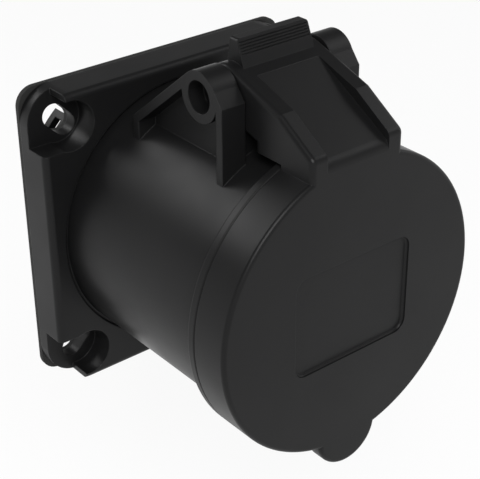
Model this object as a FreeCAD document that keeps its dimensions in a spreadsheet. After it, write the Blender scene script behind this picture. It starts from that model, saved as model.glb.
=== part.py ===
import FreeCAD, Part
import os
from math import cos, pi, radians, sin, tan

import Sketcher
from FreeCAD import Placement, Rotation, Vector

# Round panel socket with a square flange and a sprung hinged lid.
# The origin is on the socket's axis in the plane of the panel. The front looks along -Y, Z is up.
# A size called front or reach is a distance from the panel towards the front.

SIZES = [
    # square flange and its sealing sheet
    ("flange_side", 75.0),
    ("flange_corner", 8.0),
    ("flange_front", 10.7),
    ("flange_edge", 1.5),
    ("gasket_thickness", 1.2),
    ("gasket_corner", 4.5),
    ("gasket_opening", 31.0),
    # corner pockets with a diagonal fixing slot
    ("slot_offset", 29.4),
    ("slot_width", 5.5),
    ("slot_length", 9.3),
    ("pocket_offset", 30.0),
    ("pocket_radius", 6.0),
    ("pocket_depth", 6.3),
    ("pocket_shelf", 24.4),
    ("pocket_jamb", 31.0),
    # barrel with its end collar
    ("barrel_radius", 32.8),
    ("barrel_bore", 29.3),
    ("barrel_front", 60.7),
    ("relief_gap", 0.7),
    ("relief_depth", 1.0),
    ("relief_edge", 0.35),
    ("collar_radius", 35.3),
    ("collar_width", 2.2),
    ("collar_edge", 0.4),
    ("keyway_width", 8.0),
    ("keyway_depth", 2.0),
    ("keyway_length", 40.0),
    ("ledge_front", 16.0),
    ("ledge_back", 10.0),
    ("ledge_radius", 25.2),
    # spigot behind the panel with four snap tabs
    ("spigot_radius", 30.4),
    ("spigot_wall", 1.8),
    ("spigot_length", 6.0),
    ("tab_length", 13.4),
    ("tab_angle", 48.0),
    ("tab_spread", 16.0),
    ("window_spread", 9.0),
    ("window_start", 9.0),
    ("window_end", 11.5),
    # hinge ears, each a thin web with strips turned outwards round it
    ("hinge_front", 42.6),
    ("hinge_height", 44.4),
    ("ear_inner", 12.8),
    ("ear_outer", 18.9),
    ("ear_web", 1.5),
    ("ear_strip", 2.0),
    ("ear_front", 50.1),
    ("ear_shoulder", 44.0),
    ("ear_back", 18.6),
    ("ear_slope", 39.0),
    ("boss_radius", 5.7),
    ("boss_recess_radius", 3.6),
    ("boss_recess_depth", 4.0),
    ("ear_root", 20.0),
    ("seat_rib_height", 36.6),
    ("seat_rib_thickness", 1.7),
    ("stop_rib_height", 39.55),
    ("stop_rib_thickness", 2.5),
    ("stop_rib_front", 36.1),
    # hinge pin and spring
    ("pin_radius", 2.0),
    ("pin_fit", 0.03),
    ("pin_recess", 0.5),
    ("spring_wire", 1.0),
    ("spring_mean", 3.2),
    ("spring_turns", 3.0),
    ("spring_step_angle", 30.0),
    ("spring_pitch", 1.25),
    ("spring_outer", 8.6),
    ("spring_leg", 11.0),
    ("spring_arm_slope", 14.4),
    ("spring_bar_front", 63.0),
    # lid
    ("lid_gap", 0.25),
    ("lid_front", 70.3),
    ("lid_radius", 35.3),
    ("lid_edge", 1.0),
    ("lid_wall", 2.6),
    ("skirt_wall", 1.9),
    ("channel_wall", 1.6),
    ("channel_radius", 29.8),
    ("channel_back", 62.4),
    ("lug_radius", 8.4),
    ("lug_drop", 33.0),
    ("lug_thickness", 4.0),
    ("label_width", 32.4),
    ("label_height", 24.4),
    ("label_corner", 3.0),
    ("label_depth", 0.8),
    ("label_floor_fillet", 0.6),
    # hinge hood of the lid
    ("hood_clearance", 0.3),
    ("hood_wall", 1.6),
    ("hood_roof", 1.8),
    ("hood_back", 52.2),
    ("hood_floor_drop", 1.2),
    ("hood_root_drop", 3.4),
    ("hood_knee_front", 60.0),
    ("hood_slope", 18.1),
    ("hood_heel_height", 36.2),
    ("cheek_step", 2.0),
    ("hood_corner", 1.8),
    ("hood_rear_corner", 2.0),
    ("cheek_outer_edge", 1.2),
    ("panel_foot", 3.0),
    ("hood_space_height", 45.5),
    ("spring_mouth", 8.2),
    ("hood_bore_radius", 4.0),
    ("panel_half_width", 8.4),
    ("panel_back", 48.5),
    ("panel_back_height", 48.2),
    ("panel_face_rise", 0.7),
    ("knuckle_radius", 5.5),
    # thumb tab
    ("thumb_half_width", 9.6),
    ("thumb_reach", 4.9),
    ("thumb_root", 1.5),
    ("thumb_foot_front", 3.5),
    ("thumb_foot_back", 2.2),
    ("thumb_thickness", 2.1),
    ("thumb_lean", 2.7),
    ("thumb_corner", 0.8),
    ("rib_half_width", 9.2),
    ("rib_pitch", 0.58),
    ("rib_gap", 0.28),
    ("rib_depth", 0.3),
    ("rib_drop", 3.2),
    # lid gasket
    ("lid_gasket_wall", 3.0),
    ("lid_gasket_lip", 1.0),
    ("gasket_play", 0.25),
    # contact carrier
    ("tower_radius", 24.6),
    ("tower_front", 52.0),
    ("tower_edge", 0.8),
    ("disc_radius", 27.9),
    ("disc_front", 8.4),
    ("disc_back", 1.4),
    ("arm_wall", 1.6),
    ("arm_spread", 8.0),
    ("barb_depth", 1.6),
    ("barb_play", 0.3),
    ("contact_circle", 17.5),
    ("chamber_play", 1.1),
    ("collar_play", 0.2),
    # retaining plate
    ("plate_radius", 23.0),
    ("plate_thickness", 2.6),
    ("plate_screw_offset", 7.3),
    ("plate_screw_radius", 1.6),
    ("plate_screw_length", 9.0),
    ("plate_screw_head", 3.0),
    ("plate_screw_head_height", 1.8),
    ("seal_wall", 2.2),
    ("seal_thickness", 1.4),
    # contacts
    ("contact_tip", 49.6),
    ("guide_play", 0.6),
    ("phase_pin", 2.5),
    ("earth_pin", 3.0),
    ("pin_play", 0.05),
    ("sleeve_wall", 1.0),
    ("sleeve_depth", 36.0),
    ("sleeve_slit", 0.6),
    ("sleeve_slit_length", 22.0),
    ("contact_collar", 1.6),
    ("contact_collar_length", 1.8),
    ("terminal_side", 8.4),
    ("terminal_length", 11.0),
    ("wire_bore", 2.2),
    ("wire_depth", 9.0),
    ("clamp_radius", 1.75),
    ("clamp_length", 5.0),
    ("clamp_proud", 1.2),
    ("ring_wall", 0.5),
    ("ring_length", 5.0),
    ("ring_setback", 2.5),
]


class Length:
    """A length with its value and the expression that takes it from the sheet."""

    def __init__(self, value, text):
        self.value = value
        self.text = text

    def __add__(self, other):
        other = length(other)
        return Length(self.value + other.value, "(%s + %s)" % (self.text, other.text))

    def __sub__(self, other):
        other = length(other)
        return Length(self.value - other.value, "(%s - %s)" % (self.text, other.text))

    def __mul__(self, other):
        other = length(other)
        return Length(self.value * other.value, "(%s * %s)" % (self.text, other.text))

    def __truediv__(self, other):
        other = length(other)
        return Length(self.value / other.value, "(%s / %s)" % (self.text, other.text))

    def __neg__(self):
        return Length(-self.value, "(-1 * %s)" % self.text)


def length(number):
    return number if isinstance(number, Length) else Length(float(number), "%r" % float(number))


def sine(angle):
    return Length(sin(radians(angle.value)), "sin(%s * 1 deg)" % angle.text)


def cosine(angle):
    return Length(cos(radians(angle.value)), "cos(%s * 1 deg)" % angle.text)


doc = FreeCAD.newDocument("PanelSocket")
sheet = doc.addObject("Spreadsheet::Sheet", "Sizes")
for row, (alias, value) in enumerate(SIZES, start=1):
    sheet.set("A%d" % row, alias)
    sheet.set("B%d" % row, str(value))
    sheet.setAlias("B%d" % row, alias)
doc.recompute()
size = {alias: Length(float(sheet.get(alias)), "Sizes.%s" % alias) for alias, value in SIZES}


def new_body(label):
    body = doc.addObject("PartDesign::Body", label)
    body.Label = label
    return body


def plane(body, role):
    return next(feature for feature in body.Origin.OriginFeatures if feature.Role == role)


def new_sketch(body, name, role, reach=None, turn=None):
    """Sketch on an origin plane. On XZ the offset goes to the front, on YZ to the right."""
    sketch = body.newObject("Sketcher::SketchObject", name)
    sketch.AttachmentSupport = (plane(body, role), [""])
    sketch.MapMode = "FlatFace"
    offset = Vector(0, 0, reach.value if reach else 0)
    rotation = Rotation(Vector(0, 1, 0), turn.value if turn else 0)
    sketch.AttachmentOffset = Placement(offset, rotation)
    if reach:
        sketch.setExpression("AttachmentOffset.Base.z", reach.text)
    if turn:
        sketch.setExpression("AttachmentOffset.Rotation.Angle", turn.text)
    return sketch


def fix_point(sketch, item, end, across, up):
    for kind, place in (("DistanceX", length(across)), ("DistanceY", length(up))):
        number = sketch.addConstraint(Sketcher.Constraint(kind, -1, 1, item, end, place.value))
        sketch.setExpression("Constraints[%d]" % number, place.text)


def add_arc(sketch, start, end, radius, turn):
    """Short arc between two points, turning left for 1 and right for -1."""
    middle = (start + end) / 2
    chord = end - start
    across = Vector(-chord.y, chord.x, 0) / chord.Length * turn
    centre = middle + across * (radius ** 2 - (chord.Length / 2) ** 2) ** 0.5
    ring = Part.Circle(centre, Vector(0, 0, 1), radius)
    first, last = (start, end) if turn > 0 else (end, start)
    return sketch.addGeometry(Part.ArcOfCircle(ring, ring.parameter(first), ring.parameter(last)), False)


def polygon(sketch, corners):
    """Closed outline whose corners are all placed from the sheet.

    A corner with a radius and a turn starts an arc, any other starts a straight stretch.
    """
    places = [tuple(length(amount) for amount in corner[:3]) for corner in corners]
    points = [Vector(place[0].value, place[1].value, 0) for place in places]
    stretches = []
    for number, corner in enumerate(corners):
        start, end = points[number], points[(number + 1) % len(points)]
        if len(corner) == 2:
            item = sketch.addGeometry(Part.LineSegment(start, end), False)
            stretches.append((item, 1, 2))
            continue
        radius, turn = places[number][2], corner[3]
        item = add_arc(sketch, start, end, radius.value, turn)
        index = sketch.addConstraint(Sketcher.Constraint("Radius", item, radius.value))
        sketch.setExpression("Constraints[%d]" % index, radius.text)
        stretches.append((item, 1, 2) if turn > 0 else (item, 2, 1))
    for this, following in zip(stretches, stretches[1:] + stretches[:1]):
        sketch.addConstraint(Sketcher.Constraint("Coincident", this[0], this[2], following[0], following[1]))
    for (item, first, last), place in zip(stretches, places):
        fix_point(sketch, item, first, place[0], place[1])


def circle(sketch, across, up, radius):
    across, up, radius = length(across), length(up), length(radius)
    centre = Vector(across.value, up.value, 0)
    item = sketch.addGeometry(Part.Circle(centre, Vector(0, 0, 1), radius.value), False)
    fix_point(sketch, item, 3, across, up)
    number = sketch.addConstraint(Sketcher.Constraint("Radius", item, radius.value))
    sketch.setExpression("Constraints[%d]" % number, radius.text)


def rectangle(sketch, left, right, low, high):
    polygon(sketch, [(left, low), (right, low), (right, high), (left, high)])


def extrude(body, kind, name, sketch, depth, both_ways=False, backwards=False):
    feature = body.newObject("PartDesign::" + kind, name)
    feature.Profile = sketch
    feature.Length = depth.value
    feature.setExpression("Length", depth.text)
    feature.SideType = "Symmetric" if both_ways else "One side"
    feature.Reversed = backwards
    return feature


def pad(body, name, sketch, depth, **ways):
    return extrude(body, "Pad", name, sketch, length(depth), **ways)


def pocket(body, name, sketch, depth, **ways):
    return extrude(body, "Pocket", name, sketch, length(depth), **ways)


def turned(body, kind, name, sketch, spread=None):
    """Revolution or groove about the upright axis of its sketch, centred on it when partial."""
    feature = body.newObject("PartDesign::" + kind, name)
    feature.Profile = sketch
    feature.ReferenceAxis = (sketch, ["V_Axis"])
    if spread:
        feature.Midplane = True
        feature.Angle = spread.value
        feature.setExpression("Angle", spread.text)
    else:
        feature.Angle = 360
    return feature


def repeat_round(body, name, features, count):
    """Copies of features at even steps round the socket's axis."""
    pattern = body.newObject("PartDesign::PolarPattern", name)
    pattern.Originals = features
    pattern.Axis = (next(f for f in body.Origin.OriginFeatures if f.Role == "Y_Axis"), [""])
    pattern.Angle = 360
    pattern.Occurrences = count
    body.Tip = pattern
    return pattern


def mirror_sideways(body, name, features):
    mirror = body.newObject("PartDesign::Mirrored", name)
    mirror.Originals = features
    mirror.MirrorPlane = (plane(body, "YZ_Plane"), [""])
    body.Tip = mirror
    return mirror


def round_edges(body, name, radius, wanted, kind="Fillet"):
    """Fillet or chamfer on the edges of the newest shape that the test picks."""
    doc.recompute()
    base = body.Tip
    picked = ["Edge%d" % (number + 1) for number, edge in enumerate(base.Shape.Edges) if wanted(edge)]
    feature = body.newObject("PartDesign::" + kind, name)
    feature.Base = (base, picked)
    item = "Radius" if kind == "Fillet" else "Size"
    setattr(feature, item, radius.value)
    feature.setExpression(item, radius.text)
    return feature


def near(value, target):
    return abs(value - target.value) < 1e-4


def along(edge, axis):
    """True for a straight edge that runs along the given axis, 0, 1 or 2."""
    if edge.Curve.TypeId != "Part::GeomLine":
        return False
    start, end = edge.Vertexes[0].Point, edge.Vertexes[-1].Point
    return all(abs(start[other] - end[other]) < 1e-6 for other in range(3) if other != axis)


def flat_at(edge, axis, target):
    box = edge.BoundBox
    low, high = ((box.XMin, box.XMax), (box.YMin, box.YMax), (box.ZMin, box.ZMax))[axis]
    return near(low, target) and near(high, target)


CORNERS = [(1, 1), (-1, 1), (-1, -1), (1, -1)]

# Housing: one moulding of flange, barrel, collar, spigot and hinge ears.
housing = new_body("housing")
half_side = size["flange_side"] / 2
flange_sketch = new_sketch(housing, "FlangeOutline", "XZ_Plane", size["gasket_thickness"])
rectangle(flange_sketch, -half_side, half_side, -half_side, half_side)
pad(housing, "Flange", flange_sketch, size["flange_front"] - size["gasket_thickness"])
round_edges(housing, "FlangeCorners", size["flange_corner"], lambda edge: along(edge, 1))
round_edges(housing, "FlangeEdge", size["flange_edge"], lambda edge: flat_at(edge, 1, -size["flange_front"]))

pocket_sketch = new_sketch(housing, "PocketRounds", "XZ_Plane", size["flange_front"])
for side, level in CORNERS:
    circle(pocket_sketch, size["pocket_offset"] * side, size["pocket_offset"] * level, size["pocket_radius"])
pocket(housing, "CornerPocketRounds", pocket_sketch, size["pocket_depth"])
shelf_sketch = new_sketch(housing, "PocketShelves", "XZ_Plane", size["flange_front"])
for side, level in CORNERS:
    polygon(shelf_sketch, [
        (size["pocket_offset"] * side, size["pocket_shelf"] * level),
        (size["flange_side"] * side, size["pocket_shelf"] * level),
        (size["flange_side"] * side, size["flange_side"] * level),
        (size["pocket_jamb"] * side, size["flange_side"] * level),
        (size["pocket_jamb"] * side, size["pocket_offset"] * level),
        (size["pocket_offset"] * side, size["pocket_offset"] * level),
    ])
pocket(housing, "CornerPockets", shelf_sketch, size["pocket_depth"])


def cut_fixing_slots(body, depth):
    """Four diagonal slots through a plate whose front lies at the flange's front."""
    diagonal = 0.5 ** 0.5
    half_straight = (size["slot_length"] - size["slot_width"]) / 2 * diagonal
    half_width = size["slot_width"] / 2 * diagonal
    bars = new_sketch(body, "SlotBars", "XZ_Plane", size["flange_front"])
    outer_ends = new_sketch(body, "SlotOuterEnds", "XZ_Plane", size["flange_front"])
    inner_ends = new_sketch(body, "SlotInnerEnds", "XZ_Plane", size["flange_front"])
    for side, level in CORNERS:
        outline = []
        for run, width in ((1, 1), (1, -1), (-1, -1), (-1, 1)):
            across = size["slot_offset"] + half_straight * run + half_width * width
            up = size["slot_offset"] + half_straight * run - half_width * width
            outline.append((across * side, up * level))
        polygon(bars, outline)
        for ends, run in ((outer_ends, 1), (inner_ends, -1)):
            centre = size["slot_offset"] + half_straight * run
            circle(ends, centre * side, centre * level, size["slot_width"] / 2)
    pocket(body, "FixingSlots", bars, depth)
    pocket(body, "FixingSlotOuterEnds", outer_ends, depth)
    pocket(body, "FixingSlotInnerEnds", inner_ends, depth)


cut_fixing_slots(housing, size["flange_front"])

relief_sketch = new_sketch(housing, "ReliefCircle", "XZ_Plane", size["flange_front"])
relief_radius = size["barrel_radius"] + size["relief_gap"]
circle(relief_sketch, 0, 0, relief_radius)
pocket(housing, "BarrelRelief", relief_sketch, size["relief_depth"])
round_edges(housing, "ReliefEdge", size["relief_edge"], lambda edge: (
    flat_at(edge, 1, -size["flange_front"])
    and edge.Curve.TypeId == "Part::GeomCircle"
    and near(edge.Curve.Radius, relief_radius)))

# Ear seen from the side: a sloping back, a round head and an upright front.
ear_sketch = new_sketch(housing, "EarOutline", "YZ_Plane", size["ear_inner"])
hinge_y = -size["hinge_front"]
hinge_z = size["hinge_height"]
head_lean = size["boss_radius"] * sine(size["ear_slope"])
head_rise = size["boss_radius"] * cosine(size["ear_slope"])
ear_fall = sine(size["ear_slope"]) / cosine(size["ear_slope"])
ear_back_height = hinge_z + head_rise - (size["hinge_front"] - head_lean - size["ear_back"]) * ear_fall
polygon(ear_sketch, [
    (-size["ear_front"], size["ear_root"]),
    (-size["ear_front"], size["ear_shoulder"]),
    (hinge_y - head_lean, hinge_z + head_rise),
    (hinge_y, hinge_z),
    (hinge_y + head_lean, hinge_z + head_rise),
    (-size["ear_back"], ear_back_height),
    (-size["ear_back"], size["ear_root"]),
])
ear_pad = pad(housing, "EarPlate", ear_sketch, size["ear_outer"] - size["ear_inner"])
strip = size["ear_strip"]
strip_drop = strip / cosine(size["ear_slope"])
recess_sketch = new_sketch(housing, "EarRecess", "YZ_Plane", size["ear_inner"] + size["ear_web"])
polygon(recess_sketch, [
    (strip - size["ear_front"], size["ear_root"]),
    (strip - size["ear_front"], hinge_z),
    (hinge_y + head_lean, hinge_z + head_rise - strip_drop),
    (-size["ear_back"] - strip, ear_back_height + strip * ear_fall - strip_drop),
    (-size["ear_back"] - strip, size["ear_root"]),
])
ear_recess = pocket(
    housing, "EarHollow", recess_sketch, size["ear_outer"] - size["ear_inner"], backwards=True)
boss_sketch = new_sketch(housing, "EarBoss", "YZ_Plane", size["ear_inner"])
circle(boss_sketch, hinge_y, hinge_z, size["boss_radius"])
ear_boss = pad(housing, "EarHead", boss_sketch, size["ear_outer"] - size["ear_inner"])
mirror_sideways(housing, "BothEars", [ear_pad, ear_recess, ear_boss])

# Two cross ribs between the ears: one for the spring's legs, one that stops the open lid.
rib_sketch = new_sketch(housing, "CrossRibs", "YZ_Plane")
seat_rib_front = size["ear_front"] - size["ear_strip"]
rectangle(rib_sketch, -seat_rib_front, size["seat_rib_thickness"] - seat_rib_front,
          size["ear_root"], size["seat_rib_height"])
rectangle(rib_sketch, -size["stop_rib_front"], size["stop_rib_thickness"] - size["stop_rib_front"],
          size["ear_root"], size["stop_rib_height"])
pad(housing, "CrossRibPads", rib_sketch, (size["ear_inner"] + size["ear_web"]) * 2, both_ways=True)

barrel_sketch = new_sketch(housing, "BarrelProfile", "XY_Plane")
collar_back = size["barrel_front"] - size["collar_width"]
polygon(barrel_sketch, [
    (0, size["spigot_length"]),
    (size["spigot_radius"], size["spigot_length"]),
    (size["spigot_radius"], -size["gasket_thickness"] * 2),
    (size["barrel_radius"], -size["gasket_thickness"] * 2),
    (size["barrel_radius"], -collar_back),
    (size["collar_radius"], -collar_back),
    (size["collar_radius"], -size["barrel_front"]),
    (0, -size["barrel_front"]),
])
turned(housing, "Revolution", "Barrel", barrel_sketch)
round_edges(housing, "CollarEdges", size["collar_edge"], lambda edge: (
    edge.Curve.TypeId == "Part::GeomCircle"
    and near(edge.Curve.Radius, size["collar_radius"])))

bore_sketch = new_sketch(housing, "BoreProfile", "XY_Plane")
spigot_bore = size["spigot_radius"] - size["spigot_wall"]
polygon(bore_sketch, [
    (0, -size["flange_side"]),
    (size["barrel_bore"], -size["flange_side"]),
    (size["barrel_bore"], -size["ledge_front"]),
    (size["ledge_radius"], -size["ledge_front"]),
    (size["ledge_radius"], -size["ledge_back"]),
    (spigot_bore, -size["ledge_back"]),
    (spigot_bore, size["spigot_length"] * 2),
    (0, size["spigot_length"] * 2),
])
turned(housing, "Groove", "SteppedBore", bore_sketch)

keyway_sketch = new_sketch(housing, "KeywayOutline", "XZ_Plane", size["barrel_front"])
half_keyway = size["keyway_width"] / 2
rectangle(keyway_sketch, -half_keyway, half_keyway, -size["barrel_bore"] - size["keyway_depth"],
          -size["barrel_bore"] + size["keyway_depth"])
pocket(housing, "Keyway", keyway_sketch, size["keyway_length"])

tab_sketch = new_sketch(housing, "TabProfile", "XY_Plane", turn=-size["tab_angle"])
polygon(tab_sketch, [
    (spigot_bore, 0),
    (size["spigot_radius"], 0),
    (size["spigot_radius"], size["tab_length"]),
    (spigot_bore, size["tab_length"]),
])
snap_tab = turned(housing, "Revolution", "SnapTab", tab_sketch, spread=size["tab_spread"])
window_sketch = new_sketch(housing, "WindowProfile", "XY_Plane", turn=-size["tab_angle"])
polygon(window_sketch, [
    (spigot_bore - size["spigot_wall"], size["window_start"]),
    (size["spigot_radius"] + size["spigot_wall"], size["window_start"]),
    (size["spigot_radius"] + size["spigot_wall"], size["window_end"]),
    (spigot_bore - size["spigot_wall"], size["window_end"]),
])
snap_window = turned(housing, "Groove", "SnapWindow", window_sketch, spread=size["window_spread"])
repeat_round(housing, "SnapTabs", [snap_tab, snap_window], 4)

pin_bore_sketch = new_sketch(housing, "PinBore", "YZ_Plane")
circle(pin_bore_sketch, hinge_y, hinge_z, size["pin_radius"] + size["pin_fit"])
pocket(housing, "PinHole", pin_bore_sketch, size["ear_outer"] * 3, both_ways=True)
boss_recess_sketch = new_sketch(housing, "BossRecess", "YZ_Plane", size["ear_outer"])
circle(boss_recess_sketch, hinge_y, hinge_z, size["boss_recess_radius"])
boss_recess = pocket(housing, "BossHollow", boss_recess_sketch, size["boss_recess_depth"])
mirror_sideways(housing, "BothBossHollows", [boss_recess])

# Panel gasket: a thin sheet behind the flange, with tighter corners than the flange.
panel_gasket = new_body("panel_gasket")
sheet_sketch = new_sketch(panel_gasket, "SheetOutline", "XZ_Plane")
rectangle(sheet_sketch, -half_side, half_side, -half_side, half_side)
pad(panel_gasket, "GasketSheet", sheet_sketch, size["gasket_thickness"])
round_edges(panel_gasket, "SheetCorners", size["gasket_corner"], lambda edge: along(edge, 1))
opening_sketch = new_sketch(panel_gasket, "SheetOpening", "XZ_Plane", size["gasket_thickness"])
circle(opening_sketch, 0, 0, size["gasket_opening"])
pocket(panel_gasket, "GasketOpening", opening_sketch, size["gasket_thickness"])
cut_fixing_slots(panel_gasket, size["flange_front"] * 2)

# Lid: one moulding of cap, skirt, lug, hinge hood and thumb tab.
lid = new_body("lid")
lid_back = size["barrel_front"] + size["lid_gap"]
hood_half = size["ear_inner"] - size["hood_clearance"]
knuckle_lean = size["knuckle_radius"] * sine(size["hood_slope"])
knuckle_rise = size["knuckle_radius"] * cosine(size["hood_slope"])
hood_fall = sine(size["hood_slope"]) / cosine(size["hood_slope"])
knee_reach = size["hood_knee_front"] - size["hinge_front"] - knuckle_lean
knee_height = hinge_z + knuckle_rise - knee_reach * hood_fall
panel_face_height = size["lid_radius"] + size["panel_face_rise"]
hood_face_height = panel_face_height + size["cheek_step"]
hood_floor = size["lid_radius"] - size["hood_floor_drop"]
hood_root = size["lid_radius"] - size["hood_root_drop"]
hood_sketch = new_sketch(lid, "HoodOutline", "YZ_Plane")
polygon(hood_sketch, [
    (-size["lid_front"], hood_root),
    (-size["lid_front"], hood_face_height),
    (-size["hood_knee_front"], knee_height),
    (hinge_y - knuckle_lean, hinge_z + knuckle_rise),
    (hinge_y, hinge_z),
    (hinge_y, hinge_z - size["knuckle_radius"]),
    (-size["hood_back"], size["hood_heel_height"]),
    (-size["hood_back"], hood_floor),
    (-lid_back, hood_floor),
    (-lid_back, hood_root),
])
pad(lid, "Hood", hood_sketch, hood_half * 2, both_ways=True)
knuckle_sketch = new_sketch(lid, "KnuckleOutline", "YZ_Plane")
circle(knuckle_sketch, hinge_y, hinge_z, size["knuckle_radius"])
pad(lid, "Knuckle", knuckle_sketch, hood_half * 2, both_ways=True)
thumb_top = hinge_z + size["knuckle_radius"] + size["thumb_reach"]
thumb_foot = hinge_z + size["knuckle_radius"] - size["thumb_root"]
thumb_foot_front = size["hinge_front"] + size["thumb_foot_front"]
thumb_top_front = thumb_foot_front - size["thumb_lean"]
thumb_sketch = new_sketch(lid, "ThumbOutline", "YZ_Plane")
polygon(thumb_sketch, [
    (-thumb_foot_front, thumb_foot),
    (-thumb_top_front, thumb_top),
    (size["thumb_thickness"] - thumb_top_front, thumb_top),
    (size["thumb_foot_back"] - size["hinge_front"], thumb_foot),
])
pad(lid, "ThumbTab", thumb_sketch, size["thumb_half_width"] * 2, both_ways=True)

panel_sketch = new_sketch(lid, "PanelCut", "YZ_Plane")
polygon(panel_sketch, [
    (-size["panel_back"], size["panel_back_height"]),
    (-size["lid_front"], panel_face_height),
    (-size["lid_front"] - size["lid_wall"], panel_face_height),
    (-size["lid_front"] - size["lid_wall"], thumb_top),
    (-size["panel_back"], thumb_top),
])
pocket(lid, "SunkPanel", panel_sketch, size["panel_half_width"] * 2, both_ways=True)

# Rounded edges of the hood, made before the cap joins it.
round_edges(lid, "HoodShoulders", size["hood_corner"], lambda edge: (
    along(edge, 0)
    and near(edge.Vertexes[0].Y, -size["lid_front"])
    and near(edge.Vertexes[0].Z, hood_face_height)))
round_edges(lid, "PanelFoot", size["panel_foot"], lambda edge: (
    along(edge, 0)
    and near(edge.Vertexes[0].Y, -size["lid_front"])
    and near(edge.Vertexes[0].Z, panel_face_height)))
round_edges(lid, "HoodRearCorners", size["hood_rear_corner"], lambda edge: (
    along(edge, 2)
    and near(edge.Vertexes[0].Y, -size["hood_back"])
    and near(abs(edge.Vertexes[0].X), hood_half)))
round_edges(lid, "CheekOuterEdges", size["cheek_outer_edge"], lambda edge: (
    near(abs(edge.BoundBox.XMin), hood_half)
    and near(abs(edge.BoundBox.XMax), hood_half)
    and not along(edge, 2)
    and edge.Curve.TypeId == "Part::GeomLine"
    and edge.BoundBox.ZMin > hood_face_height.value - size["hood_corner"].value
    and edge.BoundBox.YMax < -size["hinge_front"].value))
round_edges(lid, "ThumbCorners", size["thumb_corner"], lambda edge: (
    along(edge, 1)
    and near(edge.Vertexes[0].Z, thumb_top)
    and near(abs(edge.Vertexes[0].X), size["thumb_half_width"])))

hollow_sketch = new_sketch(lid, "HoodHollow", "YZ_Plane")
roof = size["hood_roof"]
hollow_low = hood_root - roof
polygon(hollow_sketch, [
    (-size["lid_front"] + size["lid_wall"], hollow_low),
    (-size["lid_front"] + size["lid_wall"], panel_face_height - roof),
    (-size["panel_back"], size["hood_space_height"]),
    (hinge_y - size["hood_bore_radius"], hinge_z),
    (hinge_y, hinge_z - size["knuckle_radius"]),
    (hinge_y, hinge_z - size["spring_mouth"]),
    (-size["hood_back"], hollow_low),
])
hollow_half = hood_half - size["hood_wall"]
pocket(lid, "HoodSpace", hollow_sketch, hollow_half * 2, both_ways=True)
spring_room_sketch = new_sketch(lid, "SpringRoom", "YZ_Plane")
circle(spring_room_sketch, hinge_y, hinge_z, size["hood_bore_radius"])
pocket(lid, "KnuckleSpace", spring_room_sketch, hollow_half * 2, both_ways=True)
mouth_sketch = new_sketch(lid, "SpringMouth", "YZ_Plane")
polygon(mouth_sketch, [
    (hinge_y - size["hood_bore_radius"], hinge_z),
    (hinge_y + size["spring_mouth"], hinge_z),
    (hinge_y + size["spring_mouth"], hinge_z - size["spring_mouth"]),
    (hinge_y - size["knuckle_radius"], hinge_z - size["spring_mouth"]),
])
pocket(lid, "SpringMouthCut", mouth_sketch, hollow_half * 2, both_ways=True)

cap_sketch = new_sketch(lid, "CapProfile", "XY_Plane")
skirt_inner = size["lid_radius"] - size["skirt_wall"]
channel_inner = size["channel_radius"] - size["channel_wall"]
plate_back = size["lid_front"] - size["lid_wall"]
polygon(cap_sketch, [
    (0, -size["lid_front"]),
    (size["lid_radius"] - size["lid_edge"], -size["lid_front"], size["lid_edge"], 1),
    (size["lid_radius"], size["lid_edge"] - size["lid_front"]),
    (size["lid_radius"], -lid_back),
    (0, -lid_back),
])
turned(lid, "Revolution", "Cap", cap_sketch)
lug_sketch = new_sketch(lid, "LugProfile", "XY_Plane", -size["lug_drop"])
polygon(lug_sketch, [
    (0, -size["lid_front"]),
    (size["lug_radius"] - size["lid_edge"], -size["lid_front"], size["lid_edge"], 1),
    (size["lug_radius"], size["lid_edge"] - size["lid_front"]),
    (size["lug_radius"], size["lug_thickness"] - size["lid_front"]),
    (0, size["lug_thickness"] - size["lid_front"]),
])
turned(lid, "Revolution", "Lug", lug_sketch)
inside_sketch = new_sketch(lid, "InsideProfile", "XY_Plane")
polygon(inside_sketch, [
    (0, -plate_back),
    (channel_inner, -plate_back),
    (channel_inner, -size["channel_back"]),
    (size["channel_radius"], -size["channel_back"]),
    (size["channel_radius"], -plate_back),
    (skirt_inner, -plate_back),
    (skirt_inner, size["lid_gap"] - lid_back),
    (0, size["lid_gap"] - lid_back),
])
turned(lid, "Groove", "InsideAndChannel", inside_sketch)

label_sketch = new_sketch(lid, "LabelOutline", "XZ_Plane", size["lid_front"])
half_label = size["label_width"] / 2
half_height = size["label_height"] / 2
rectangle(label_sketch, -half_label, half_label, -half_height, half_height)
pocket(lid, "LabelField", label_sketch, size["label_depth"])
round_edges(lid, "LabelCorners", size["label_corner"], lambda edge: (
    along(edge, 1)
    and near(abs(edge.Vertexes[0].X), half_label)
    and near(abs(edge.Vertexes[0].Z), half_height)))
label_floor = -(size["lid_front"] - size["label_depth"])
round_edges(lid, "LabelFloor", size["label_floor_fillet"], lambda edge: (
    flat_at(edge, 1, label_floor)
    and abs(edge.CenterOfMass.x) <= half_label.value
    and abs(edge.CenterOfMass.z) <= half_height.value))

groove_sketch = new_sketch(lid, "ThumbRibs", "YZ_Plane")
lean = size["thumb_lean"] / (thumb_top - thumb_foot)
for number in range(5):
    low = thumb_top - size["rib_drop"] + size["rib_pitch"] * number
    high = low + size["rib_gap"]
    face_low = thumb_foot_front - (low - thumb_foot) * lean
    face_high = thumb_foot_front - (high - thumb_foot) * lean
    polygon(groove_sketch, [
        (-face_low - size["rib_depth"], low),
        (-face_high - size["rib_depth"], high),
        (-face_high + size["rib_depth"], high),
        (-face_low + size["rib_depth"], low),
    ])
pocket(lid, "ThumbGrooves", groove_sketch, size["rib_half_width"] * 2, both_ways=True)
lid_bore_sketch = new_sketch(lid, "LidPinBore", "YZ_Plane")
circle(lid_bore_sketch, hinge_y, hinge_z, size["pin_radius"] + size["pin_fit"])
pocket(lid, "LidPinHole", lid_bore_sketch, hood_half * 3, both_ways=True)

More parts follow.
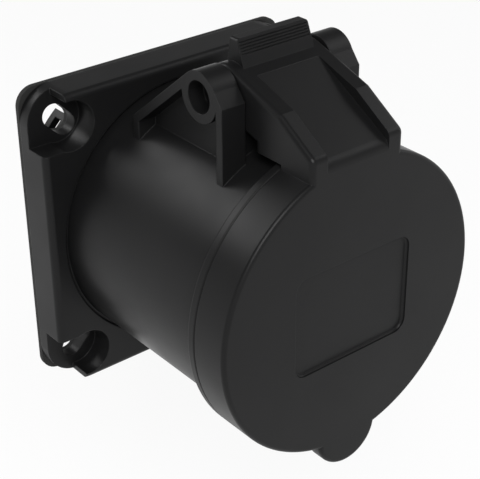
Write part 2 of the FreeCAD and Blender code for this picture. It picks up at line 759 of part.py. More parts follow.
# Lid gasket: a ring in the channel of the lid, with a narrower lip towards the rim.
lid_gasket = new_body("lid_gasket")
gasket_profile = new_sketch(lid_gasket, "GasketProfile", "XY_Plane")
gasket_inner = size["channel_radius"] + size["gasket_play"]
gasket_outer = gasket_inner + size["lid_gasket_wall"]
polygon(gasket_profile, [
    (gasket_inner, -plate_back + size["gasket_play"]),
    (gasket_outer, -plate_back + size["gasket_play"]),
    (gasket_outer, -lid_back - size["lid_gasket_lip"]),
    (gasket_outer - size["lid_gasket_lip"], -lid_back),
    (gasket_inner + size["lid_gasket_lip"], -lid_back),
    (gasket_inner, -lid_back - size["lid_gasket_lip"]),
])
turned(lid_gasket, "Revolution", "GasketRing", gasket_profile)

# Hinge pin: a plain rod, a little shorter than the space between the two hollows of the ears.
hinge_pin = new_body("hinge_pin")
pin_half = size["ear_outer"] - size["boss_recess_depth"] - size["pin_recess"]
pin_sketch = new_sketch(hinge_pin, "PinSection", "YZ_Plane")
circle(pin_sketch, hinge_y, hinge_z, size["pin_radius"])
pad(hinge_pin, "Pin", pin_sketch, pin_half * 2, both_ways=True)
round_edges(hinge_pin, "PinEnds", size["pin_recess"] / 2, lambda edge: True, kind="Chamfer")

# Lid spring: one wire with two coils round the pin. Each outer leg goes down behind the seat rib.
# Each inner arm runs forward to the cross bar, which leans on the top of the skirt.
# Across is measured to the front of the hinge and up from it, in a plane side by side with the ears.
arm_slope = radians(size["spring_arm_slope"].value)
coil_angle = radians(270) - arm_slope + 2 * pi * size["spring_turns"].value
coil_steps = round(coil_angle / radians(size["spring_step_angle"].value))
coil_width = size["spring_pitch"].value * coil_angle / (2 * pi)
mean_radius = size["spring_mean"].value
bar_reach = size["spring_bar_front"].value - size["hinge_front"].value
arm_start = Vector(-mean_radius * sin(arm_slope), -mean_radius * cos(arm_slope), 0)
bar_drop = arm_start.y - (bar_reach - arm_start.x) * tan(arm_slope)
inner_reach = size["spring_outer"].value - coil_width


def spring_point(sideways, across, up):
    return Vector(sideways, hinge_y.value - across, hinge_z.value + up)


half_spring = [spring_point(size["spring_outer"].value, mean_radius, -size["spring_leg"].value)]
for step in range(coil_steps + 1):
    share = step / coil_steps
    half_spring.append(spring_point(
        size["spring_outer"].value - coil_width * share,
        mean_radius * cos(coil_angle * share),
        mean_radius * sin(coil_angle * share)))
half_spring.append(spring_point(inner_reach, bar_reach, bar_drop))
other_half = [Vector(-point.x, point.y, point.z) for point in reversed(half_spring)]
spring_path = doc.addObject("Part::Polygon", "SpringPath")
spring_path.Nodes = half_spring + other_half
spring_section = doc.addObject("Part::Circle", "SpringSection")
spring_section.Radius = size["spring_wire"].value / 2
spring_section.setExpression("Radius", (size["spring_wire"] / 2).text)
spring_section.Placement = Placement(half_spring[0], Rotation())
doc.recompute()
lid_spring = doc.addObject("Part::Sweep", "lid_spring")
lid_spring.Label = "lid_spring"
lid_spring.Sections = [spring_section]
path_edges = ["Edge%d" % (number + 1) for number in range(len(spring_path.Shape.Edges))]
lid_spring.Spine = (spring_path, path_edges)
lid_spring.Transition = "Right corner"
lid_spring.Solid = True

# Contact carrier: disc and tower with five chambers, held by four snap arms.
carrier = new_body("contact_carrier")
carrier_sketch = new_sketch(carrier, "CarrierProfile", "XY_Plane")
polygon(carrier_sketch, [
    (0, -size["tower_front"]),
    (size["tower_radius"] - size["tower_edge"], -size["tower_front"]),
    (size["tower_radius"], -size["tower_front"] + size["tower_edge"]),
    (size["tower_radius"], -size["disc_front"]),
    (size["disc_radius"], -size["disc_front"]),
    (size["disc_radius"], -size["disc_back"]),
    (0, -size["disc_back"]),
])
turned(carrier, "Revolution", "Tower", carrier_sketch)
arm_sketch = new_sketch(carrier, "ArmProfile", "XY_Plane", turn=-size["tab_angle"])
barb_low = size["window_start"] + size["barb_play"]
barb_high = size["window_end"] - size["barb_play"]
polygon(arm_sketch, [
    (size["disc_radius"] - size["arm_wall"], -size["disc_back"]),
    (size["disc_radius"], -size["disc_back"]),
    (size["disc_radius"], barb_low),
    (size["disc_radius"] + size["barb_depth"], barb_low),
    (size["disc_radius"], barb_high),
    (size["disc_radius"] - size["arm_wall"], barb_high),
])
snap_arm = turned(carrier, "Revolution", "SnapArm", arm_sketch, spread=size["arm_spread"])
repeat_round(carrier, "SnapArms", [snap_arm], 4)

CONTACTS = [("pe", 0, "earth_pin"), ("l3", 1, "phase_pin"), ("l2", 2, "phase_pin"),
            ("l1", 3, "phase_pin"), ("n", 4, "phase_pin")]
EARTH_ANGLE = -90
STEP_ANGLE = 72


def contact_centre(index):
    angle = length(EARTH_ANGLE + STEP_ANGLE * index)
    return size["contact_circle"] * cosine(angle), size["contact_circle"] * sine(angle)


def sleeve_radius(pin):
    return size[pin] + size["pin_play"] + size["sleeve_wall"]


def collar_radius(pin):
    return sleeve_radius(pin) + size["contact_collar"]


guides = new_sketch(carrier, "PinGuides", "XZ_Plane", size["tower_front"])
chambers = new_sketch(carrier, "Chambers", "XZ_Plane", size["contact_tip"])
seats = new_sketch(carrier, "CollarSeats", "XZ_Plane", size["disc_back"])
for name, index, pin in CONTACTS:
    across, up = contact_centre(index)
    circle(guides, across, up, size[pin] + size["guide_play"])
    circle(chambers, across, up, sleeve_radius(pin) + size["chamber_play"])
    circle(seats, across, up, collar_radius(pin) + size["collar_play"])
pocket(carrier, "GuideHoles", guides, size["tower_front"])
pocket(carrier, "ChamberHoles", chambers, size["tower_front"])
seat_depth = size["contact_collar_length"] + size["collar_play"]
pocket(carrier, "SeatHoles", seats, seat_depth, backwards=True)
screw_offset = size["plate_screw_offset"]
screw_holes = new_sketch(carrier, "ScrewHoles", "XZ_Plane", size["disc_back"])
for side in (1, -1):
    circle(screw_holes, screw_offset * side, 0, size["plate_screw_radius"])
pocket(carrier, "ScrewHolePair", screw_holes, size["plate_screw_length"], backwards=True)

# Retaining plate: closes the chambers from behind, round the terminals.
retaining_plate = new_body("retaining_plate")
plate_sketch = new_sketch(retaining_plate, "PlateOutline", "XZ_Plane", size["disc_back"])
circle(plate_sketch, 0, 0, size["plate_radius"])
pad(retaining_plate, "Plate", plate_sketch, size["plate_thickness"], backwards=True)
plate_holes = new_sketch(retaining_plate, "PlateHoles", "XZ_Plane", size["disc_back"])
for name, index, pin in CONTACTS:
    across, up = contact_centre(index)
    circle(plate_holes, across, up, sleeve_radius(pin) + size["collar_play"])
for side in (1, -1):
    circle(plate_holes, screw_offset * side, 0, size["plate_screw_radius"] + size["collar_play"])
pocket(retaining_plate, "PlateHoleSet", plate_holes, size["plate_thickness"])

# Carrier seal: flat ring between the disc and the ledge of the barrel.
carrier_seal = new_body("carrier_seal")
seal_sketch = new_sketch(carrier_seal, "SealProfile", "XY_Plane")
seal_inner = size["ledge_radius"] + size["collar_play"]
seal_front = size["disc_front"] + size["seal_thickness"]
polygon(seal_sketch, [
    (seal_inner, -size["disc_front"]),
    (seal_inner + size["seal_wall"], -size["disc_front"]),
    (seal_inner + size["seal_wall"], -seal_front),
    (seal_inner, -seal_front),
])
turned(carrier_seal, "Revolution", "SealRing", seal_sketch)


def screw_pair(label):
    """Two screws of the retaining plate, heads at the back, as separate solids."""
    body = new_body(label)
    head_seat = -size["disc_back"] + size["plate_thickness"]
    shank = new_sketch(body, "Shanks", "XZ_Plane", -head_seat)
    heads = new_sketch(body, "Heads", "XZ_Plane", -head_seat)
    for side in (1, -1):
        circle(shank, screw_offset * side, 0, size["plate_screw_radius"] - size["pin_fit"])
        circle(heads, screw_offset * side, 0, size["plate_screw_head"])
    pad(body, "ScrewShanks", shank, size["plate_screw_length"])
    pad(body, "ScrewHeads", heads, size["plate_screw_head_height"], backwards=True)
    return body


plate_screws = screw_pair("plate_screws")

# Contacts: split sleeve, collar and square terminal, each modelled along its own axis
# with the terminal's screw pointing away from the socket's axis.
contact_bodies = []
ring_bodies = []


def place_contact(body, index):
    across, up = contact_centre(index)
    angle = -(EARTH_ANGLE + STEP_ANGLE * index)
    body.Placement = Placement(Vector(across.value, 0, up.value), Rotation(Vector(0, 1, 0), angle))
    body.setExpression("Placement.Base.x", across.text)
    body.setExpression("Placement.Base.z", up.text)


terminal_back = size["plate_thickness"] - size["disc_back"] + size["collar_play"]
half_terminal = size["terminal_side"] / 2
half_slit = size["sleeve_slit"] / 2
for name, index, pin in CONTACTS:
    body = new_body("contact_" + name)
    profile = new_sketch(body, "SleeveProfile", "XY_Plane")
    bore = size[pin] + size["pin_play"]
    collar_front_y = -size["disc_back"] - seat_depth
    collar_back_y = collar_front_y + size["contact_collar_length"]
    polygon(profile, [
        (bore, -size["contact_tip"] + size["collar_play"]),
        (sleeve_radius(pin), -size["contact_tip"] + size["collar_play"]),
        (sleeve_radius(pin), collar_front_y),
        (collar_radius(pin), collar_front_y),
        (collar_radius(pin), collar_back_y),
        (sleeve_radius(pin), collar_back_y),
        (sleeve_radius(pin), terminal_back),
        (0, terminal_back),
        (0, -size["contact_tip"] + size["sleeve_depth"]),
        (bore, -size["contact_tip"] + size["sleeve_depth"]),
    ])
    turned(body, "Revolution", "Sleeve", profile)
    block = new_sketch(body, "TerminalOutline", "XZ_Plane", -terminal_back)
    rectangle(block, -half_terminal, half_terminal, -half_terminal, half_terminal)
    pad(body, "Terminal", block, size["terminal_length"], backwards=True)
    slit = new_sketch(body, "SlitOutline", "XZ_Plane", size["contact_tip"])
    rectangle(slit, -half_slit, half_slit, -collar_radius(pin), collar_radius(pin))
    pocket(body, "Slit", slit, size["sleeve_slit_length"])
    wire_hole = new_sketch(body, "WireHole", "XZ_Plane", -terminal_back - size["terminal_length"])
    circle(wire_hole, 0, 0, size["wire_bore"])
    pocket(body, "WireBore", wire_hole, size["wire_depth"], backwards=True)
    clamp_hole = new_sketch(body, "ClampHole", "YZ_Plane", half_terminal)
    circle(clamp_hole, terminal_back + size["terminal_length"] / 2, 0, size["clamp_radius"])
    pocket(body, "ClampBore", clamp_hole, half_terminal)
    place_contact(body, index)
    contact_bodies.append(body)

    ring = new_body("sleeve_spring_" + name)
    ring_sketch = new_sketch(ring, "RingProfile", "XY_Plane")
    ring_inner = sleeve_radius(pin) + size["pin_fit"]
    ring_front = size["contact_tip"] - size["ring_setback"]
    polygon(ring_sketch, [
        (ring_inner, -ring_front),
        (ring_inner + size["ring_wall"], -ring_front),
        (ring_inner + size["ring_wall"], -ring_front + size["ring_length"]),
        (ring_inner, -ring_front + size["ring_length"]),
    ])
    turned(ring, "Revolution", "Ring", ring_sketch)
    ring_gap = new_sketch(ring, "RingGap", "XZ_Plane", ring_front)
    rectangle(ring_gap, 0, collar_radius(pin), -half_slit, half_slit)
    pocket(ring, "RingOpening", ring_gap, size["ring_length"])
    place_contact(ring, index)
    ring_bodies.append(ring)

# Terminal screws: one in each terminal, pointing to the wire, five separate solids.
terminal_screws = new_body("terminal_screws")
clamp_outside = size["contact_circle"] + half_terminal + size["clamp_proud"]
clamp_middle = terminal_back + size["terminal_length"] / 2
clamp_sketch = new_sketch(terminal_screws, "ClampSection", "XY_Plane", -clamp_outside)
circle(clamp_sketch, 0, clamp_middle, size["clamp_radius"] - size["pin_fit"])
clamp_screw = pad(terminal_screws, "ClampScrew", clamp_sketch, size["clamp_length"])
repeat_round(terminal_screws, "ClampScrews", [clamp_screw], 5)

subparts = [housing, panel_gasket, lid, lid_gasket, hinge_pin, lid_spring, carrier, carrier_seal,
            retaining_plate, plate_screws, terminal_screws] + contact_bodies + ring_bodies
doc.recompute()

faults = [item.Name for item in doc.Objects if "Invalid" in item.State or "Error" in item.State]
if faults:
    raise RuntimeError("features that failed: " + ", ".join(faults))
for item in subparts:
    if item.Shape.isNull() or not item.Shape.isValid():
        raise RuntimeError("no valid shape for " + item.Label)

os.makedirs("parts", exist_ok=True)
for item in subparts:
    item.Shape.exportStep(os.path.join("parts", item.Label + ".step"))
    box = item.Shape.BoundBox
    print("%-18s %8.1f mm3  %d solids  %6.1f %6.1f %6.1f" % (
        item.Label, item.Shape.Volume, len(item.Shape.Solids), box.XLength, box.YLength, box.ZLength))
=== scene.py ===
from math import cos, pi, radians, sin

import bpy
from mathutils import Matrix, Vector


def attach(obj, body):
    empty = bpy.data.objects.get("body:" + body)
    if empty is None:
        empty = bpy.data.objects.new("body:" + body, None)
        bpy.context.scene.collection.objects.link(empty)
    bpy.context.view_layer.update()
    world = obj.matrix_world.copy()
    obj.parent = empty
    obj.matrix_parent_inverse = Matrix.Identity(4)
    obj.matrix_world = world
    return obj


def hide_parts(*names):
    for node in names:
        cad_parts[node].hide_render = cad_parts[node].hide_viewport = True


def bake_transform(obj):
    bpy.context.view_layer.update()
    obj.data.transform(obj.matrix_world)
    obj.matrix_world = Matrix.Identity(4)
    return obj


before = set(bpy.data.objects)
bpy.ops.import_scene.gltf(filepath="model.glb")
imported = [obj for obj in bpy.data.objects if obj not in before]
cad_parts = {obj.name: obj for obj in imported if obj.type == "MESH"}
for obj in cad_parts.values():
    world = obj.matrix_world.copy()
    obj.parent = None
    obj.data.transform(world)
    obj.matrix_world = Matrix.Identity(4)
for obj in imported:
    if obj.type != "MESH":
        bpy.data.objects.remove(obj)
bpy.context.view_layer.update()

# The studio: a pale floor far below the socket, a surround that is near white at the horizon and
# dark grey overhead, a soft lamp behind at the left that draws a band of light along the barrel, and
# two broad lamps in front and at the right. The camera stands high at the front left.
scene = bpy.context.scene
scene.view_settings.view_transform = "Standard"

picture_width = 480
focal_length = 1330.3
sensor_width = 36
camera_place = (-0.16882, -0.24152, 0.15232)
camera_direction = Vector((0.54613, 0.67721, -0.49308))
camera_roll = radians(-0.5)

camera_data = bpy.data.cameras.new("photo_camera")
camera_data.sensor_width = sensor_width
camera_data.lens = sensor_width * focal_length / picture_width
camera_data.clip_start = 0.01
camera_data.clip_end = 20
photo_camera = bpy.data.objects.new("photo_camera", camera_data)
scene.collection.objects.link(photo_camera)
scene.camera = photo_camera
aimed = camera_direction.to_track_quat("-Z", "Y").to_matrix() @ Matrix.Rotation(camera_roll, 3, "Z")
photo_camera.matrix_world = Matrix.Translation(camera_place) @ aimed.to_4x4()


def add(tree, kind, inputs=None, **settings):
    """A shader node with its settings. An input is given a value or another node's output."""
    made = tree.nodes.new("ShaderNode" + kind)
    for name, value in settings.items():
        setattr(made, name, value)
    for name, value in (inputs or {}).items():
        if isinstance(value, bpy.types.NodeSocket):
            tree.links.new(value, made.inputs[name])
        else:
            made.inputs[name].default_value = value
    return made


def as_object(name, points, faces, material):
    """A mesh object in the scene with one material."""
    mesh = bpy.data.meshes.new(name)
    mesh.from_pydata(points, [], faces)
    mesh.validate()
    mesh.materials.append(material)
    made = bpy.data.objects.new(name, mesh)
    scene.collection.objects.link(made)
    return made


floor_height = -0.12
floor_half = 3.0
floor_glow = 0.88

floor_paint = bpy.data.materials.new("pale_floor")
floor_paint.use_nodes = True
tree = floor_paint.node_tree
tree.nodes.clear()
path = add(tree, "LightPath")
seen = add(tree, "Math", {0: path.outputs["Is Camera Ray"], 1: path.outputs["Is Glossy Ray"]},
           operation="MAXIMUM")
seen_through = add(tree, "Math", {0: seen.outputs[0], 1: path.outputs["Is Transmission Ray"]},
                   operation="MAXIMUM")
glow_share = add(tree, "Math", {0: seen_through.outputs[0], 1: floor_glow}, operation="MULTIPLY")
matt = add(tree, "BsdfDiffuse", {"Color": (0.86, 0.86, 0.86, 1)})
white = add(tree, "Emission")
top_side = add(tree, "MixShader", {0: glow_share.outputs[0], 1: matt.outputs[0], 2: white.outputs[0]})
facing = add(tree, "NewGeometry")
open_below = add(tree, "BsdfTransparent")
either_side = add(tree, "MixShader", {0: facing.outputs["Backfacing"], 1: top_side.outputs[0],
                                      2: open_below.outputs[0]})
add(tree, "OutputMaterial", {"Surface": either_side.outputs[0]})

floor = as_object("floor", [(-floor_half, -floor_half, 0), (floor_half, -floor_half, 0),
                            (floor_half, floor_half, 0), (-floor_half, floor_half, 0)],
                  [(0, 1, 2, 3)], floor_paint)
floor.location.z = floor_height

surround = bpy.data.worlds.new("surround")
scene.world = surround
surround.use_nodes = True
tree = surround.node_tree
tree.nodes.clear()
direction = add(tree, "TexCoord")
apart = add(tree, "SeparateXYZ", {0: direction.outputs["Generated"]})
levels = add(tree, "ValToRGB", {"Fac": apart.outputs["Z"]})
horizon, overhead = levels.color_ramp.elements
horizon.position = 0.04
horizon.color = (0.92, 0.92, 0.92, 1)
overhead.position = 0.36
overhead.color = (0.15, 0.15, 0.15, 1)
sky = add(tree, "Background", {"Color": levels.outputs["Color"]})
add(tree, "OutputWorld", {"Surface": sky.outputs[0]})


def soft_lamp(name, azimuth, elevation, distance, width, height, watts):
    """A rectangular lamp aimed at the socket. Azimuth runs from behind the panel to the left."""
    turn, rise = radians(azimuth), radians(elevation)
    aim = Vector((0, -0.03, 0))
    place = aim + Vector((-sin(turn) * cos(rise), cos(turn) * cos(rise), sin(rise))) * distance
    lamp = bpy.data.objects.new(name, bpy.data.lights.new(name, "AREA"))
    lamp.data.shape = "RECTANGLE"
    lamp.data.size = width
    lamp.data.size_y = height
    lamp.data.energy = watts
    lamp.location = place
    lamp.rotation_euler = (aim - place).to_track_quat("-Z", "Y").to_euler()
    scene.collection.objects.link(lamp)


soft_lamp("rear_left_lamp", azimuth=29, elevation=36, distance=1.2, width=0.7, height=0.42, watts=5.2)
soft_lamp("front_lamp", azimuth=145, elevation=42, distance=1.3, width=0.6, height=0.6, watts=15)
soft_lamp("right_lamp", azimuth=-110, elevation=35, distance=1.3, width=0.8, height=0.8, watts=5)

# Housing: square flange, round barrel, collar and hinge ears in one shot of black glass-filled
# polyamide. The tool was spark eroded, so the skin is satin with a fine grain. The corners that the
# tool left rounded are painted a little lighter, partly as rubbing wear and partly as a painted
# highlight.


def relief_group(name, inputs, values):
    """An empty node group with its inputs, a Normal output and outputs for the named values."""
    group = bpy.data.node_groups.new(name, "ShaderNodeTree")
    face = group.interface
    for title, value in inputs.items():
        kind = "NodeSocketFloat" if isinstance(value, float) else "NodeSocketVector"
        face.new_socket(title, in_out="INPUT", socket_type=kind).default_value = value
    face.new_socket("Normal", in_out="OUTPUT", socket_type="NodeSocketVector")
    for title in values:
        face.new_socket(title, in_out="OUTPUT", socket_type="NodeSocketFloat")
    return group, group.nodes.new("NodeGroupInput"), group.nodes.new("NodeGroupOutput")


def spread_gloss(group, inside, outside, value, low, high):
    """Roughness between the group's high and low gloss, as a value goes from low to high."""
    gloss = add(group, "MapRange", {"Value": value, "From Min": low, "From Max": high,
                                    "To Min": inside.outputs["High gloss"],
                                    "To Max": inside.outputs["Low gloss"]})
    group.links.new(gloss.outputs[0], outside.inputs["Roughness"])


def softened_relief(group, outside, radius, samples, height, strength, depth):
    """A fine height over softened corners, as the group's normal. Gives back the corners."""
    corner = add(group, "Bevel", {"Radius": radius}, samples=samples)
    bump = add(group, "Bump", {"Strength": strength, "Distance": depth, "Height": height,
                               "Normal": corner.outputs["Normal"]})
    group.links.new(bump.outputs["Normal"], outside.inputs["Normal"])
    return corner


def moulded_skin():
    """Tool grain over softened corners, slow changes of gloss and tone, and corners painted lighter:
    partly wear, partly a painted highlight.
    """
    group, inside, outside = relief_group("moulded_skin", {
        "Grain size": 2600.0, "Grain depth": 0.00001, "Corner radius": 0.0004,
        "High gloss": 0.36, "Low gloss": 0.46}, ("Roughness", "Rubbed and highlit", "Tone"))
    place = add(group, "TexCoord").outputs["Object"]
    grain = add(group, "TexNoise", {"Vector": place, "Scale": inside.outputs["Grain size"], "Detail": 3})
    corner = softened_relief(group, outside, inside.outputs["Corner radius"], 6, grain.outputs["Fac"],
                             0.5, inside.outputs["Grain depth"])

    flat = add(group, "NewGeometry")
    bend = add(group, "VectorMath", {0: corner.outputs["Normal"], 1: flat.outputs["Normal"]},
               operation="DOT_PRODUCT")
    # Painted highlight and wear: where the softened corner bends away from the flat face, the colour
    # turns lighter, broken up by noise.
    edge = add(group, "MapRange", {"Value": bend.outputs["Value"], "From Min": 0.995, "From Max": 0.88})
    handled = add(group, "TexNoise", {"Vector": place, "Scale": 180, "Detail": 5})
    uneven = add(group, "MapRange", {"Value": handled.outputs["Fac"], "From Min": 0.38, "From Max": 0.66})
    rubbed_and_highlit = add(group, "Math", {0: edge.outputs[0], 1: uneven.outputs[0]}, operation="MULTIPLY")
    group.links.new(rubbed_and_highlit.outputs[0], outside.inputs["Rubbed and highlit"])

    patches = add(group, "TexNoise", {"Vector": place, "Scale": 55, "Detail": 4})
    spread_gloss(group, inside, outside, patches.outputs["Fac"], 0.3, 0.7)
    flow = add(group, "TexNoise", {"Vector": place, "Scale": 26, "Detail": 6, "Distortion": 0.6})
    group.links.new(flow.outputs["Fac"], outside.inputs["Tone"])
    return group


def two_tone(name, group, settings, first, second, share):
    """A material with gloss and normal from a relief group, and its colour between two tones."""
    material = bpy.data.materials.new(name)
    material.use_nodes = True
    tree = material.node_tree
    surface = tree.nodes["Principled BSDF"]
    relief = add(tree, "Group", node_tree=group)
    for title, value in settings.items():
        relief.inputs[title].default_value = value
    tones = add(tree, "Mix", {"Factor": relief.outputs[share], "A": (*first, 1), "B": (*second, 1)},
                data_type="RGBA")
    tree.links.new(tones.outputs["Result"], surface.inputs["Base Color"])
    tree.links.new(relief.outputs["Roughness"], surface.inputs["Roughness"])
    tree.links.new(relief.outputs["Normal"], surface.inputs["Normal"])
    return material, surface, relief, tones


skin = moulded_skin()


def moulded(name, dark, light, worn_and_highlit, gloss, grain_size, grain_depth, corner_radius, mirror):
    """A moulded material: two close tones, a lighter colour at the corners that is partly wear and partly
    a painted highlight, and a span of gloss.
    """
    material, surface, relief, tones = two_tone(name, skin, {
        "Grain size": grain_size, "Grain depth": grain_depth, "Corner radius": corner_radius,
        "High gloss": gloss[0], "Low gloss": gloss[1]}, dark, light, "Tone")
    surface.inputs["IOR"].default_value = 1.5
    surface.inputs["Specular IOR Level"].default_value = mirror
    tree = material.node_tree
    # The corners get the lighter colour, partly as wear and partly as a painted highlight.
    wear_and_highlight = add(tree, "Mix", {"Factor": relief.outputs["Rubbed and highlit"], "A": tones.outputs["Result"],
                             "B": (*worn_and_highlit, 1)}, data_type="RGBA")
    tree.links.new(wear_and_highlight.outputs["Result"], surface.inputs["Base Color"])
    return material


def finish_node(node, material):
    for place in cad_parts[node].material_slots:
        place.material = material


# The lightest colour goes on the corners: partly wear, partly a painted highlight.
black_polyamide = {"dark": (0.0055, 0.0055, 0.0057), "light": (0.009, 0.009, 0.0092),
                   "worn_and_highlit": (0.02, 0.02, 0.02), "gloss": (0.34, 0.44), "grain_size": 2600,
                   "grain_depth": 0.00001}
shell_black = moulded("shell_black", **black_polyamide, corner_radius=0.00035, mirror=0.16)
finish_node("housing", shell_black)

# Carrier seal: a moulded ring of soft black rubber in the groove between carrier and ledge, with
# the dull bloom that rubber gets.
seal_black = moulded("seal_black", dark=(0.011, 0.011, 0.011), light=(0.02, 0.02, 0.019),
                     worn_and_highlit=(0.035, 0.034, 0.032), gloss=(0.6, 0.78), grain_size=1400,
                     grain_depth=0.00002, corner_radius=0.0003, mirror=0.35)
finish_node("carrier_seal", seal_black)

# Contacts: sleeves turned from brass rod and slit at the front, each with a square terminal for
# the conductor. The turning tool left fine rings.


def worked_metal():
    """Lines left by drawing or turning, with slow changes of gloss and tarnish."""
    group, inside, outside = relief_group("worked_metal", {
        "Stretch": (100.0, 100.0, 100.0), "Line depth": 0.000004, "High gloss": 0.2,
        "Low gloss": 0.36}, ("Roughness", "Tarnish"))
    place = add(group, "TexCoord").outputs["Object"]
    drawn_out = add(group, "VectorMath", {0: place, 1: inside.outputs["Stretch"]}, operation="MULTIPLY")
    lines = add(group, "TexNoise", {"Vector": drawn_out.outputs["Vector"], "Scale": 1, "Detail": 4})
    softened_relief(group, outside, 0.00015, 4, lines.outputs["Fac"], 0.6, inside.outputs["Line depth"])
    patches = add(group, "TexNoise", {"Vector": place, "Scale": 150, "Detail": 3})
    both = add(group, "Math", {0: patches.outputs["Fac"], 1: lines.outputs["Fac"]}, operation="MULTIPLY")
    spread_gloss(group, inside, outside, both.outputs[0], 0.12, 0.42)
    group.links.new(patches.outputs["Fac"], outside.inputs["Tarnish"])
    return group


metal_lines = worked_metal()


def metal(name, clean, dull, stretch, depth, gloss):
    """A bare or plated metal between a clean and a dull tone, with its lines along one way."""
    material, surface = two_tone(name, metal_lines, {
        "Stretch": stretch, "Line depth": depth, "High gloss": gloss[0], "Low gloss": gloss[1]},
        clean, dull, "Tarnish")[:2]
    surface.inputs["Metallic"].default_value = 1
    return material


poles = ("l1", "l2", "l3", "n", "pe")
contact_brass = metal("contact_brass", clean=(0.8, 0.6, 0.28), dull=(0.66, 0.47, 0.21),
                      stretch=(60, 5000, 60), depth=0.0000006, gloss=(0.24, 0.36))
for pole in poles:
    finish_node("contact_" + pole, contact_brass)

# Clamping rings: open rings of bright spring steel strip, rolled to shape and sprung over the slit
# ends of the sleeves, where they press the brass against the pins.
strip_steel = metal("strip_steel", clean=(0.62, 0.62, 0.62), dull=(0.46, 0.46, 0.48),
                    stretch=(400, 5000, 400), depth=0.000001, gloss=(0.22, 0.34))
for pole in poles:
    finish_node("sleeve_spring_" + pole, strip_steel)

# Contact carrier: an insulating tower of dark grey polyamide, moulded in one piece and snapped in
# from behind. Its tool was duller than that of the shell.
insert_grey = moulded("insert_grey", dark=(0.026, 0.026, 0.028), light=(0.04, 0.04, 0.042),
                      worn_and_highlit=(0.075, 0.075, 0.078), gloss=(0.42, 0.54), grain_size=2200,
                      grain_depth=0.00001, corner_radius=0.0003, mirror=0.4)
finish_node("contact_carrier", insert_grey)

# Retaining plate: a moulded disc of the same grey polyamide. It lies over the collars of the
# contacts and is screwed to the back of the carrier.
finish_node("retaining_plate", insert_grey)

# Plate screws: two thread-forming pan heads with a cross recess, cold headed, rolled and zinc
# plated. They cut their own thread in the carrier.
plated_steel = metal("plated_steel", clean=(0.66, 0.67, 0.69), dull=(0.48, 0.48, 0.47),
                     stretch=(900, 900, 900), depth=0.000004, gloss=(0.24, 0.42))
millimetre = 0.001


def between(value, low, high):
    return max(low, min(high, value))


def closed_rings(rings, ends):
    """Faces over rings of points, closed by one middle point at each end."""
    count = len(rings[0])
    points = [point for ring in rings for point in ring] + ends
    last_ring = (len(rings) - 1) * count
    first_end, last_end = len(points) - 2, len(points) - 1
    faces = []
    for step in range(count):
        beside = (step + 1) % count
        for start in range(0, last_ring, count):
            faces.append((start + step, start + beside, start + count + beside, start + count + step))
        faces.append((first_end, beside, step))
        faces.append((last_end, last_ring + step, last_ring + beside))
    return points, faces


def screw_skin(head_radius, head_height, shank_radius, core_radius, pitch, length, recess, steps):
    """Skin of a screw in millimetres, from its driven end down to its tip. Without a head height
    it is a headless screw. The recess gives its depth at a place of the driven end."""
    top_rows = 34
    edge_rows = 6
    thread_rows_a_turn = 10
    seat_edge = 0.08
    neck = 0.35
    tip_cone = 0.35
    runout = 0.4
    tip_length = 0.9
    crest_steepness = 3.2
    top_radius = head_radius if head_height else shank_radius
    rounding = 0.45 * head_height if head_height else 0.12
    dome = 0.22 * head_height
    turns = [2 * pi * step / steps for step in range(steps)]
    rings = []

    def ring(radius, height, sunk=False):
        places = [(radius * cos(turn), radius * sin(turn)) for turn in turns]
        rings.append([(u, v, height - (recess(u, v) if sunk else 0)) for u, v in places])

    flat_radius = top_radius - rounding
    for row in range(1, top_rows + 1):
        radius = flat_radius * row / top_rows
        ring(radius, head_height - dome * (radius / top_radius) ** 2, sunk=True)
    edge_top = head_height - dome * (flat_radius / top_radius) ** 2
    for row in range(1, edge_rows + 1):
        turn = pi / 2 * row / edge_rows
        ring(flat_radius + rounding * sin(turn), edge_top - rounding * (1 - cos(turn)),
             sunk=not head_height)
    if head_height:
        ring(top_radius, seat_edge)
        ring(top_radius - seat_edge, 0)
        ring(shank_radius, 0)
    thread_top = (0 if head_height else edge_top - rounding) - neck
    thread_end = tip_length - length
    thread_rows = int((length - tip_length) / pitch * thread_rows_a_turn)
    for row in range(thread_rows + 1):
        height = thread_top + (thread_end - thread_top) * row / thread_rows
        ease = between(min((thread_top - height) / pitch, (height + length - runout) / pitch), 0, 1)
        around = []
        for turn in turns:
            phase = (height / pitch + turn / (2 * pi)) % 1
            crest = max(0.0, 1 - abs(phase - 0.5) * crest_steepness)
            radius = core_radius + (shank_radius - core_radius) * crest * ease
            around.append((radius * cos(turn), radius * sin(turn), height))
        rings.append(around)
    ring(core_radius, tip_cone - length)
    ring(core_radius * 0.6, -length)
    return closed_rings(rings, [(0, 0, head_height - recess(0, 0)), (0, 0, -length)])


def placed(skin_made, origin, across, up, out):
    """A skin moved to its place in the socket, in metres."""
    points, faces = skin_made
    return [tuple(millimetre * (origin[axis] + point[0] * across[axis] + point[1] * up[axis]
                                + point[2] * out[axis]) for axis in range(3)) for point in points], faces


def screw_set(name, screws, node):
    """All screws of one node as one object on the socket."""
    points, faces = [], []
    for one_points, one_faces in screws:
        faces += [tuple(index + len(points) for index in face) for face in one_faces]
        points += one_points
    made = as_object(name, points, faces, plated_steel)
    made.data.shade_smooth()
    made.data.set_sharp_from_angle(angle=radians(32))
    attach(made, "socket")
    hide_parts(node)


def cross_recess(u, v):
    """Depth of a cross recess: four tapered wings that run down to a point in the middle."""
    wing_half_width = 0.46
    wing_reach = 1.75
    reach = (u * u + v * v) ** 0.5
    wing = between((wing_half_width - min(abs(u), abs(v))) / 0.1, 0, 1)
    taper = between((wing_reach - reach) / 0.12, 0, 1)
    return wing * taper * (0.55 + 0.75 * max(0.0, 1 - reach / wing_reach))


